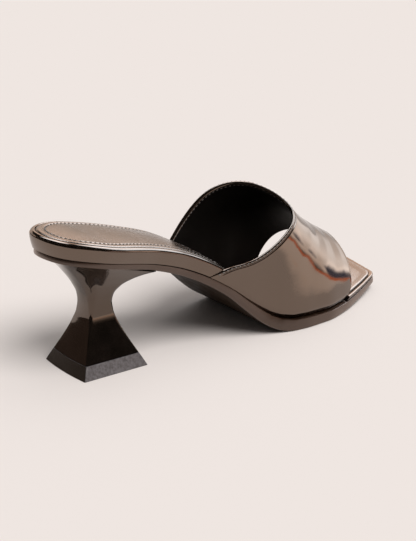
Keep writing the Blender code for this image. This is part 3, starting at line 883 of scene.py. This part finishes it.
def varied_colour(tree, shader, source, dark, light):
    made = tree.nodes.new("ShaderNodeValToRGB")
    for element, position, colour in zip(made.color_ramp.elements, RAMP, (dark, light)):
        element.position = position
        element.color = (*colour, 1.0)
    link(tree, source, made.inputs["Fac"])
    link(tree, made.outputs["Color"], shader.inputs["Base Color"])


def clouded(name, colour, roughness, ior, cloud, shades, rough=None, grain=None, bump=None):
    """Finish whose colour follows a slow noise, and so do the roughness and the bump that are given.

    A grain is a finer noise, which the bump follows instead.
    """
    made, shader = new_finish(name, colour, roughness, ior)
    tree = made.node_tree
    amount = noise(tree, *cloud)
    varied_colour(tree, shader, amount, *shades)
    if rough is not None:
        link(tree, ranged(tree, amount, *rough), shader.inputs["Roughness"])
    if bump is not None:
        bumped(tree, shader, amount if grain is None else noise(tree, *grain), *bump)
    return made


def patent_finish():
    """Black patent leather: a hard clear film over dark leather, with a faint unevenness."""
    return clouded(
        "patent", (0.004, 0.003, 0.003), roughness=0.07, ior=2.3, cloud=(45.0, 3.0), shades=FILM,
        rough=(0.05, 0.12), grain=(420.0, 2.0), bump=(0.04, 0.0004),
    )


def lining_finish():
    """Black goat lining inside the upper."""
    return clouded(
        "lining_leather", (0.002, 0.0015, 0.001), roughness=0.6, ior=1.25, cloud=(60.0, 3.0),
        shades=((0.001, 0.0008, 0.0006), (0.003, 0.0022, 0.0017)),
        grain=(1500.0, 4.0, 0.6), bump=(0.25, 0.0003),
    )


def insole_finish():
    """Smooth black sock leather with a fine grain."""
    made = clouded(
        "sock_leather", (0.02, 0.016, 0.013), roughness=0.24, ior=2.06, cloud=(70.0, 5.0),
        shades=((0.012, 0.009, 0.007), (0.024, 0.018, 0.014)), rough=(0.16, 0.28),
    )
    cells = texture(made.node_tree, "ShaderNodeTexVoronoi", 1300.0)
    bumped(made.node_tree, shader_of(made), cells.outputs["Distance"], 0.14, 0.00025)
    return made


def lacquer_finish():
    """Black lacquer over the moulded heel."""
    return clouded(
        "lacquer", (0.004, 0.003, 0.003), roughness=0.05, ior=1.95, cloud=(90.0, 2.0), shades=FILM,
        rough=(0.03, 0.08), bump=(0.02, 0.0005),
    )


def outsole_finish():
    """Painted sole edge under a clear satin lacquer, duller than the patent."""
    made = clouded(
        "sole_paint", (0.012, 0.009, 0.007), roughness=0.42, ior=1.62, cloud=(160.0, 4.0),
        shades=((0.008, 0.006, 0.005), (0.018, 0.013, 0.010)), rough=(0.36, 0.5),
        grain=(900.0, 3.0), bump=(0.12, 0.0003),
    )
    coat = {"Coat Weight": 1.0, "Coat IOR": 1.55, "Coat Roughness": 0.3, "Coat Tint": (*WARM, 1.0)}
    fill(shader_of(made), coat)
    return made


def underside_finish():
    """Dark brown rubber under the sole, with a fine moulded grain."""
    return clouded(
        "sole_rubber", (0.016, 0.009, 0.004), roughness=0.5, ior=1.3, cloud=(120.0, 4.0),
        shades=((0.011, 0.006, 0.003), (0.022, 0.012, 0.006)), rough=(0.4, 0.6),
        grain=(1100.0, 3.0), bump=(0.2, 0.0003),
    )


def rubber_finish():
    """Rubber of the lift: sanded grey round its sides, with painted shade darkening it to near black at its
    back.
    """
    made = clouded(
        "lift_rubber", (0.12, 0.112, 0.114), roughness=0.55, ior=1.5, cloud=(700.0, 5.0, 0.7),
        shades=((0.075, 0.068, 0.070), (0.17, 0.158, 0.162)), rough=(0.45, 0.65), bump=(0.3, 0.0004),
    )
    tree = made.node_tree
    colour = shader_of(made).inputs["Base Color"]
    sanded = colour.links[0].from_socket
    facing = tree.nodes.new("ShaderNodeNewGeometry")
    split = tree.nodes.new("ShaderNodeSeparateXYZ")
    link(tree, facing.outputs["Normal"], split.inputs["Vector"])
    # painted shade: the faces that look to the back are darkened as if away from the light
    back = ranged(tree, split.outputs["X"], 1.0, 0.0, from_low=-0.8, from_high=-0.5)
    link(tree, mixed(tree, back, sanded, PAINTED_BACK_SHADE), colour)
    return made


def thread_finish():
    """Waxed thread, coloured pale grey with lighter and darker bands along its twist as painted sheen on
    dark thread.
    """
    made, shader = new_finish("thread", (0.16, 0.145, 0.135), 0.35)
    tree = made.node_tree
    twist_and_sheen = texture(tree, "ShaderNodeTexWave", 900.0).outputs["Fac"]
    bumped(tree, shader, twist_and_sheen, 0.2, 0.0002)
    # painted sheen: the pale grey and the lighter bands along the twist stand in for light caught by dark
    # thread
    varied_colour(tree, shader, twist_and_sheen, (0.11, 0.098, 0.090), (0.24, 0.22, 0.205))
    return made


# Floor, light and camera
FOCUS = 800.0  # the photograph's focal length in its pixels
ZOOM = 1.7  # how much closer the frame is drawn to the one shoe
FRAME_HEIGHT = 541.0
CAMERA = (-367.856, -541.443, 288.737)  # in the drawing
AIM = (115.0, 0.0, 33.0)
PAPER = (0.863, 0.791, 0.753)  # the pale ground, in linear light
FLOOR_RIGHT = 300.0  # where the paper ends, beyond the frame's right side
FLOOR_REACH = 40.0  # how far it runs the other ways, in metres
FLOOR_DROP = 0.0001  # how far it lies below the soles, in metres
DOME = 0.42  # share of the floor's light that comes from all round
DOME_LIFT = 1.5  # how fast it grows from the horizon to overhead, as a power of the height
DOME_SWAY = 0.7  # how far it swings either side of its mean, all the way round
DOME_AZIMUTH = -30.0  # where it is brightest
TILT = (0.120, 0.311, 0.943)  # square to the plane through the eye and the far table's edge
SUN_ELEVATION = math.radians(56)
SUN_AZIMUTH = math.radians(-92)
SUN_SPREAD = math.radians(40)
ROOM = (0.020, 0.016, 0.014)  # what reflections see between the panels

# The panels that light up reflections: the azimuth of the middle and the angles from there where the panel
# starts to fade and ends; the elevations where it starts, is full, starts to fade and ends; whether they are
# taken from the table's plane; and its light. Angles are in degrees.
PANELS = {
    "low_backdrop": ((38.0, 66.0, 72.0), (-9.0, -8.0, 6.0, 11.0), False, (0.62, 0.50, 0.42)),
    "backdrop": ((38.0, 66.0, 72.0), (6.0, 11.0, 14.0, 20.0), False, (1.08, 0.88, 0.74)),
    "side_wall": ((-80.0, 48.0, 52.0), (-2.0, -1.0, 2.0, 5.0), False, (0.75, 0.52, 0.40)),
    "back_wall": ((125.0, 22.0, 34.0), (-2.0, -1.0, 16.0, 26.0), False, (0.08, 0.055, 0.043)),
    "low_window": ((-16.0, 26.0, 38.0), (2.6, 4.0, 7.0, 11.0), True, (0.75, 0.70, 0.66)),
    "window": ((4.0, 14.0, 24.0), (2.6, 4.0, 18.0, 26.0), True, (0.35, 0.34, 0.33)),
    "high_window": ((14.0, 18.0, 28.0), (2.6, 4.0, 60.0, 70.0), True, (0.30, 0.30, 0.30)),
    "glow": ((-2.0, 2.0, 30.0), (2.6, 4.0, 13.0, 20.0), True, (1.15, 1.18, 1.2)),
    "box": ((14.0, 22.0, 32.0), (21.0, 26.0, 54.0, 62.0), False, (3.6, 4.2, 4.8)),
    "back_light": ((74.0, 14.0, 24.0), (36.0, 42.0, 64.0, 72.0), False, (5.0, 5.5, 6.0)),
    "toe_panel": ((44.0, 14.0, 24.0), (14.0, 18.0, 40.0, 48.0), False, (2.0, 1.5, 1.2)),
}


def add_floor():
    """The paper, which ends to the right of the frame and runs on the other ways."""
    mesh = bpy.data.meshes.new("floor")
    aim = (np.array(AIM) + SHIFT) * MM
    forward = np.array((AIM[0] - CAMERA[0], AIM[1] - CAMERA[1], 0.0))
    forward /= np.linalg.norm(forward)
    right = np.array((forward[1], -forward[0], 0.0))
    near_edge = (aim + right * FLOOR_RIGHT * MM) * (1.0, 1.0, 0.0)
    ahead = forward * FLOOR_REACH
    left = -right * FLOOR_REACH
    corners = [near_edge - ahead, near_edge + ahead, near_edge + ahead + left, near_edge - ahead + left]
    mesh.from_pydata(corners, [], [(0, 1, 2, 3)])
    made, shader = new_finish("paper", PAPER, 0.9)
    shader.inputs["Specular IOR Level"].default_value = 0.0
    mesh.materials.append(made)
    floor = bpy.data.objects.new("floor", mesh)
    floor.location.z = -FLOOR_DROP
    bpy.context.scene.collection.objects.link(floor)


def add_sun():
    light = bpy.data.lights.new("key", "SUN")
    light.energy = (1 - DOME) * math.pi / math.sin(SUN_ELEVATION)
    light.angle = SUN_SPREAD
    key = bpy.data.objects.new("key", light)
    flat = math.cos(SUN_ELEVATION)
    towards = Vector((flat * math.cos(SUN_AZIMUTH), flat * math.sin(SUN_AZIMUTH), math.sin(SUN_ELEVATION)))
    key.rotation_euler = towards.to_track_quat("Z", "Y").to_euler()
    key.visible_glossy = False
    bpy.context.scene.collection.objects.link(key)


class Sky:
    """Makes the nodes of the studio's surroundings, which go by the direction of a ray."""

    def __init__(self):
        world = bpy.data.worlds.new("studio")
        bpy.context.scene.world = world
        world.use_nodes = True
        world.cycles.sampling_method = "NONE"
        self.tree = world.node_tree
        self.background = self.tree.nodes["Background"]
        way = self.tree.nodes.new("ShaderNodeTexCoord")
        split = self.tree.nodes.new("ShaderNodeSeparateXYZ")
        link(self.tree, way.outputs["Generated"], split.inputs["Vector"])
        self.x, self.y, self.z = (split.outputs[axis] for axis in "XYZ")
        square_x = self.maths("MULTIPLY", self.x, self.x)
        square_y = self.maths("MULTIPLY", self.y, self.y)
        above_zero = 1e-6
        across = self.maths("ADD", self.maths("ADD", square_x, square_y), above_zero)
        self.flat = self.maths("SQRT", across, 0.0)
        self.tilted = self.maths("MULTIPLY", self.z, TILT[2])
        for part, share in ((self.x, TILT[0]), (self.y, TILT[1])):
            self.tilted = self.maths("ADD", self.tilted, self.maths("MULTIPLY", part, share))

    def maths(self, operation, first, second):
        made = self.tree.nodes.new("ShaderNodeMath")
        made.operation = operation
        for socket, value in zip(made.inputs, (first, second)):
            if isinstance(value, (int, float)):
                socket.default_value = value
            else:
                link(self.tree, value, socket)
        return made.outputs["Value"]

    def eased(self, value, low, high):
        """From 0 at low to 1 at high, whichever of the two is the greater."""
        ends = (0.0, 1.0) if low < high else (1.0, 0.0)
        return ranged(self.tree, value, *ends, min(low, high), max(low, high), "SMOOTHSTEP")

    def cosine_from(self, azimuth):
        """Cosine of the level angle from an azimuth in degrees."""
        turn = math.radians(azimuth)
        forward = self.maths("MULTIPLY", self.x, math.cos(turn))
        aside = self.maths("MULTIPLY", self.y, math.sin(turn))
        return self.maths("DIVIDE", self.maths("ADD", forward, aside), self.flat)

    def towards(self, azimuth, inside, outside):
        """1 within an angle of an azimuth, 0 beyond a wider one, in degrees."""
        low = math.cos(math.radians(outside))
        return self.eased(self.cosine_from(azimuth), low, math.cos(math.radians(inside)))

    def panel(self, sector, band, tilted=False):
        """1 inside a sector of azimuths and a band of elevations, over the level or the table's plane."""
        height = self.tilted if tilted else self.z
        return self.maths("MULTIPLY", self.towards(*sector), self.between(height, *band))

    def between(self, height, low_out, low_in, high_in, high_out):
        """1 between two elevations, eased to 0 outside them, in degrees."""
        low = self.eased(height, math.sin(math.radians(low_out)), math.sin(math.radians(low_in)))
        high = self.eased(height, math.sin(math.radians(high_out)), math.sin(math.radians(high_in)))
        return self.maths("MULTIPLY", low, high)

    def tint(self, amount, colour):
        """A colour times an amount."""
        made = self.tree.nodes.new("ShaderNodeVectorMath")
        made.operation = "SCALE"
        made.inputs[0].default_value = colour
        link(self.tree, amount, made.inputs["Scale"])
        return made.outputs["Vector"]

    def summed(self, parts):
        total = parts[0]
        for part in parts[1:]:
            made = self.tree.nodes.new("ShaderNodeVectorMath")
            made.operation = "ADD"
            link(self.tree, total, made.inputs[0])
            link(self.tree, part, made.inputs[1])
            total = made.outputs["Vector"]
        return total


def add_surroundings():
    """World whose look depends on the ray: paper to the camera, a soft dome as light, panels to gloss."""
    sky = Sky()
    lights = []
    for sector, band, tilted, colour in PANELS.values():
        lights.append(sky.tint(sky.panel(sector, band, tilted), colour))
    room = sky.between(sky.z, -9.0, -8.0, 80.0, 90.0)
    panels = sky.summed([*lights, sky.tint(room, ROOM)])
    far_floor = sky.between(sky.z, -90.0, -80.0, -0.8, 0.0)
    panels = mixed(sky.tree, far_floor, panels, PAPER)
    table = sky.panel((-22.0, 28.0, 36.0), (-60.0, -50.0, 0.0, 0.4), tilted=True)
    panels = mixed(sky.tree, table, panels, PAPER)
    sheen = sky.panel((-40.0, 26.0, 44.0), (-6.5, -0.5, 5.0, 9.0))
    panels = sky.summed([panels, sky.tint(sheen, (0.60, 0.51, 0.44))])
    table_edge = sky.panel((-24.0, 24.0, 34.0), (-0.4, 0.2, 1.4, 2.4), tilted=True)
    panels = mixed(sky.tree, table_edge, panels, (1.4, 0.38, 0.15))
    dark_edge = sky.panel((-14.0, 6.0, 12.0), (1.4, 2.4, 5.0, 9.0), tilted=True)
    panels = mixed(sky.tree, dark_edge, panels, (0.14, 0.15, 0.22))
    sway = sky.maths("ADD", sky.maths("MULTIPLY", sky.cosine_from(DOME_AZIMUTH), DOME_SWAY), 1.0)
    height = sky.maths("POWER", sky.maths("MAXIMUM", sky.z, 0.0), DOME_LIFT)
    level = DOME * (DOME_LIFT + 2) / 2
    dome = sky.tint(sky.maths("MULTIPLY", sway, height), (level, level, level))
    rays = sky.tree.nodes.new("ShaderNodeLightPath")
    unseen = mixed(sky.tree, rays.outputs["Is Glossy Ray"], dome, panels)
    seen = mixed(sky.tree, rays.outputs["Is Camera Ray"], unseen, PAPER)
    link(sky.tree, seen, sky.background.inputs["Color"])


def add_camera():
    data = bpy.data.cameras.new("camera")
    data.sensor_fit = "VERTICAL"
    data.sensor_height = 36.0
    data.lens = FOCUS * ZOOM / FRAME_HEIGHT * data.sensor_height
    data.clip_start = 0.01
    data.clip_end = 200.0
    camera = bpy.data.objects.new("camera", data)
    camera.location = (np.array(CAMERA) + SHIFT) * MM
    aim = Vector((np.array(AIM) + SHIFT) * MM)
    camera.rotation_euler = (aim - camera.location).to_track_quat("-Z", "Y").to_euler()
    bpy.context.scene.collection.objects.link(camera)
    bpy.context.scene.camera = camera


def dress():
    patent = patent_finish()
    lining = lining_finish()
    thread = thread_finish()
    low_top = TOP_PIECE / (SOLE.at("under", HEEL_AXIS) - GAP)
    low_heel = low_top + GAP / SOLE.at("under", HEEL_AXIS)
    facets = np.linspace(low_heel, FACETS_UP_TO, 16)
    neck_and_seat = np.linspace(FACETS_UP_TO + 0.01, 1.0, 60)
    heel_levels = np.concatenate([facets, neck_and_seat])
    lift_levels = np.linspace(0.0, low_top, 8)
    pieces = (
        (sole_piece("sole", outsole_profile, False, outsole_finish(), underside_finish()), "outsole",
         "outsole_rubber"),
        (sole_piece("footbed", midsole_profile, True, patent), "midsole", "patent_leather"),
        (sole_piece("sock", insole_profile, True, insole_finish()), "insole", "insole_leather"),
        (upper_piece(patent, lining), "upper", "patent_leather"),
        (block_piece("heel_block", heel_levels, lacquer_finish()), "heel", "heel_lacquer"),
        (block_piece("lift", lift_levels, rubber_finish()), "top_piece", "top_piece_rubber"),
    )
    for piece, node, slot in pieces:
        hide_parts(node)
    for row in (insole_stitches(thread), *collar_stitches(thread)):
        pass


bpy.context.scene.view_settings.view_transform = "Standard"
dress()
add_floor()
add_sun()
add_surroundings()
add_camera()
